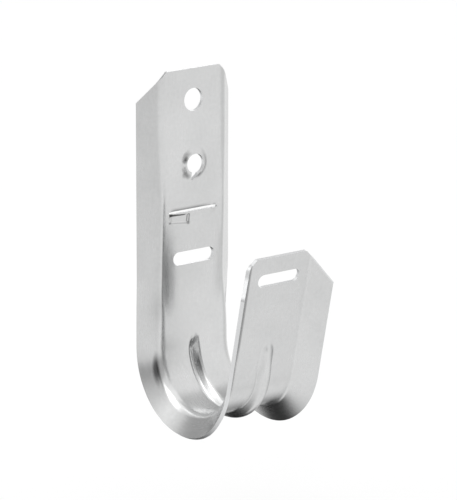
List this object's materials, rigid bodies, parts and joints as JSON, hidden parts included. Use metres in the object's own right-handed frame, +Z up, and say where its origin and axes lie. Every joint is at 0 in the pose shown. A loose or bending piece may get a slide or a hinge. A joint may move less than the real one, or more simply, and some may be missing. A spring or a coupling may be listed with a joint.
{
  "type": "j hook cable support",
  "caption": "Flared sheet-steel J hook that carries a bundle of data or fibre cables, with a mounting hole, a thread impression and cable tie slots.",
  "frame": {"origin": "middle of the mounting hole, on the wall side of the web", "axes": "+X across the strip, +Y to the wall that the hook is screwed to, +Z up; the cable trough hangs below and opens upwards on the -Y side"},
  "size_m": [0.036, 0.0538, 0.1108],
  "materials": {
    "galvanised_steel": "satin galvanised sheet with a faint rolled grain and bright sheared edges"
  },
  "bodies": {
    "root": {"hook": "galvanised_steel"}
  },
  "joints": []
}
